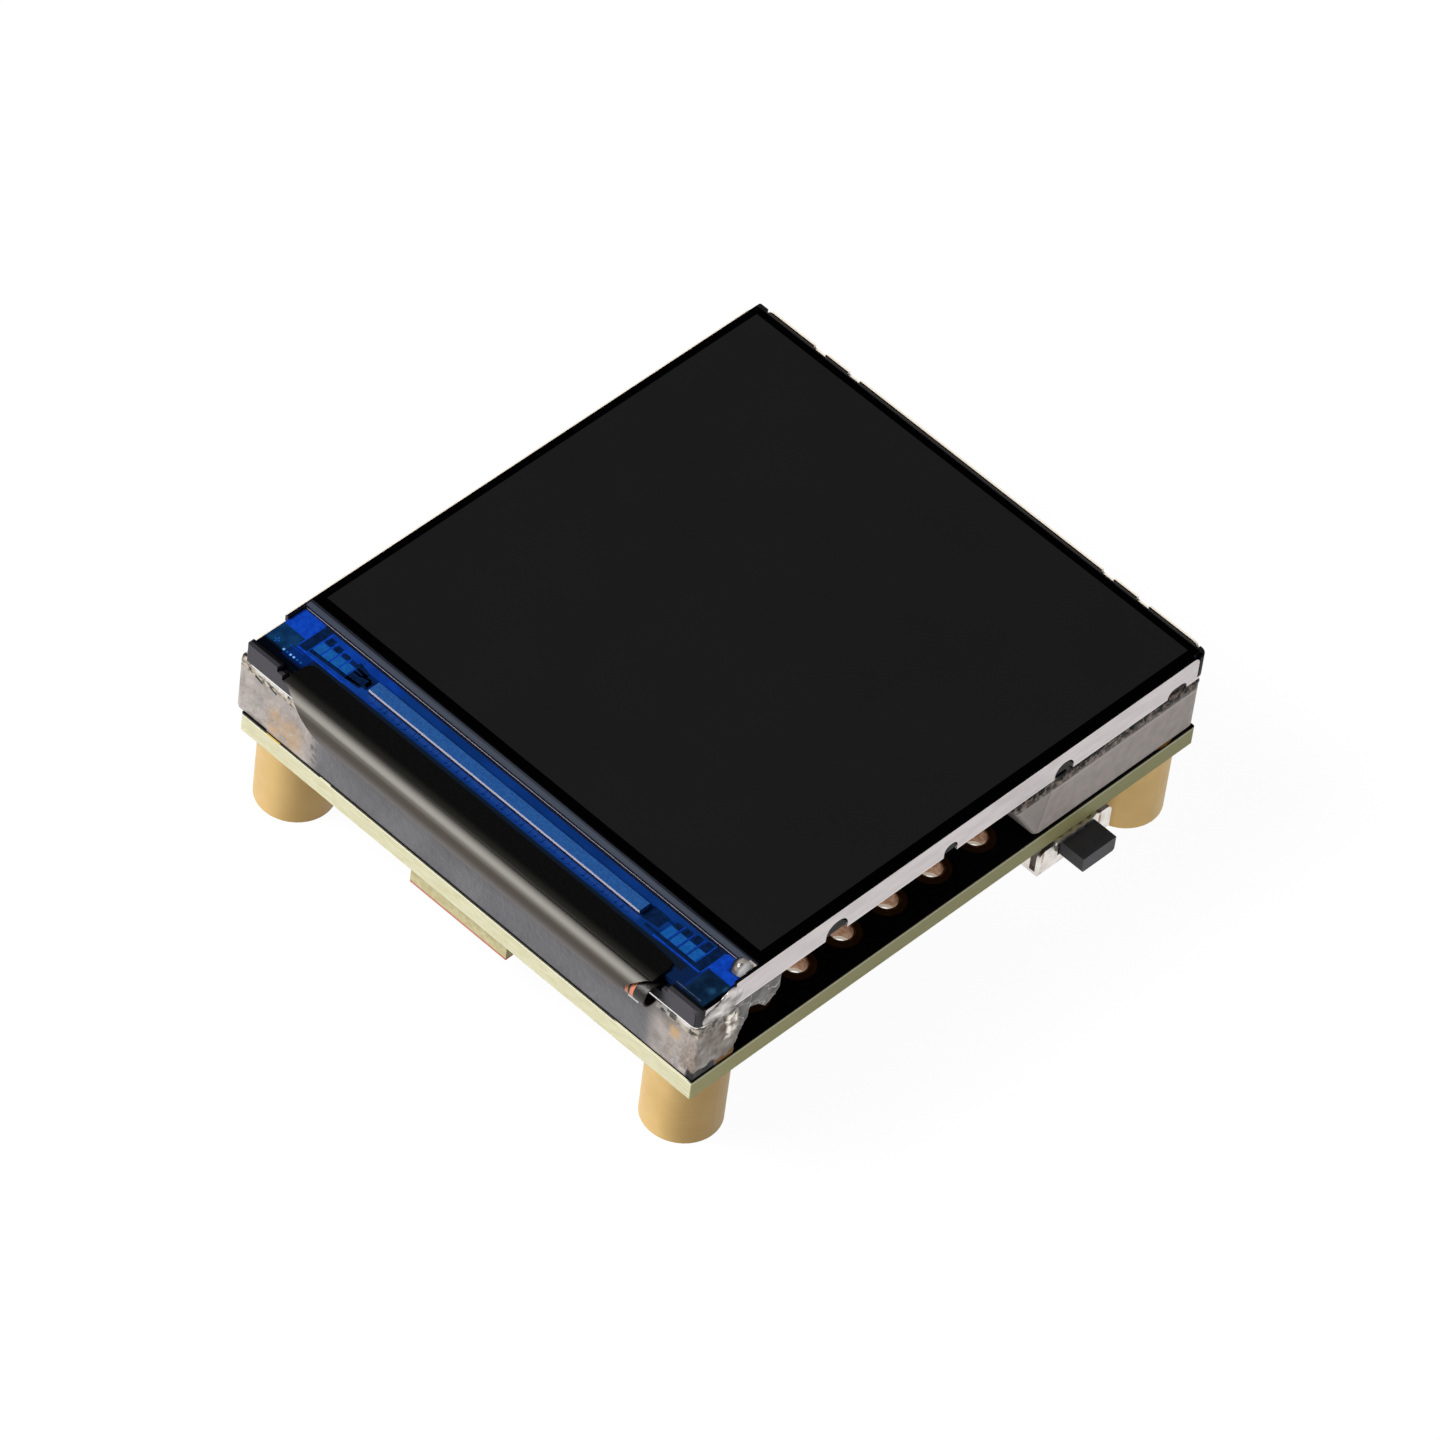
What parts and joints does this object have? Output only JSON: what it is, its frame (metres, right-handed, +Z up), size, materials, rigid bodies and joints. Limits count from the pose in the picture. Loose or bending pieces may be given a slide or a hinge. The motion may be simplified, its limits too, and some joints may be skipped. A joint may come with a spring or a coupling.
{
  "type": "lcd development board",
  "caption": "Square colour display held by gel strips above a small black circuit board on brass standoffs, with a folded display cable and side push keys.",
  "frame": {"origin": "centre of the four-standoff pattern, at the standoffs' feet", "axes": "+Z up out of the display, +X towards the push key that the picture shows, -Y towards the edge where the display's cable folds over"},
  "size_m": [0.028, 0.0302, 0.0091],
  "materials": {
    "board_mask": "glossy",
    "gold": "polished",
    "hole_plating": "satin",
    "standoff_brass": "turned",
    "gel": "clear, wet-looking",
    "tray_steel": "satin",
    "frame_plastic": "matte",
    "reflector_film": "mirror",
    "guide_acrylic": "clear",
    "white_film": "matte",
    "polarizer_film": "glossy",
    "ledge_glass": "glossy",
    "cover_glass": "glossy",
    "screen": "satin",
    "driver_silicon": "satin",
    "cable_film": "satin",
    "lamp_strip": "satin",
    "solder": "satin",
    "lamp_body": "satin",
    "clear_glue": "glossy",
    "antenna_ceramic": "matte",
    "receptacle_steel": "satin",
    "black_moulding": "matte",
    "cream_moulding": "matte",
    "chip_black": "matte",
    "can_steel": "satin",
    "coil_grey": "matte",
    "key_steel": "satin",
    "key_black": "satin",
    "capacitor_tan": "satin",
    "resistor_black": "satin",
    "lamp_clear": "glossy"
  },
  "bodies": {
    "board": {"circuit_board": "board_mask", "mount_rings": "gold", "header_plating": "hole_plating", "standoffs": "standoff_brass", "front_gel": "gel", "back_gel": "gel", "display_tray": "tray_steel", "backlight_frame": "frame_plastic", "reflector_sheet": "reflector_film", "light_guide": "guide_acrylic", "diffuser_film": "white_film", "prism_film": "white_film", "rear_polarizer": "polarizer_film", "lower_glass": "ledge_glass", "upper_glass": "cover_glass", "front_polarizer": "screen", "driver_chip": "driver_silicon", "display_cable": "cable_film", "cable_joints": "solder", "lamp_cable": "lamp_strip", "backlight_lamps": "lamp_body", "glue_dot": "clear_glue", "antenna": "antenna_ceramic", "antenna_pads": "solder", "usb_shell": "receptacle_steel", "usb_core": "black_moulding", "usb_contacts": "gold", "battery_socket": "cream_moulding", "battery_pins": "solder", "processor_chip": "chip_black", "memory_chip": "chip_black", "crystal": "can_steel", "motion_sensor": "chip_black", "power_coil": "coil_grey", "regulator": "chip_black", "charger": "chip_black", "backlight_switch": "chip_black", "capacitors": "capacitor_tan", "resistors": "resistor_black", "indicator_lamps": "lamp_clear", "right_key_base": "black_moulding", "right_key_cover": "key_steel", "right_key_dome": "key_steel", "right_key_legs": "solder", "left_key_base": "black_moulding", "left_key_cover": "key_steel", "left_key_dome": "key_steel", "left_key_legs": "solder"},
    "right_key": {"right_key_plunger": "key_black"},
    "left_key": {"left_key_plunger": "key_black"}
  },
  "joints": [
    {"name": "right_key_press", "type": "slide", "parent": "board", "child": "right_key", "axis": [-1, 0, 0], "range_m": [0, 0.00025], "stiffness_N_per_m": 6400},
    {"name": "left_key_press", "type": "slide", "parent": "board", "child": "left_key", "axis": [1, 0, 0], "range_m": [0, 0.00025], "stiffness_N_per_m": 6400}
  ]
}
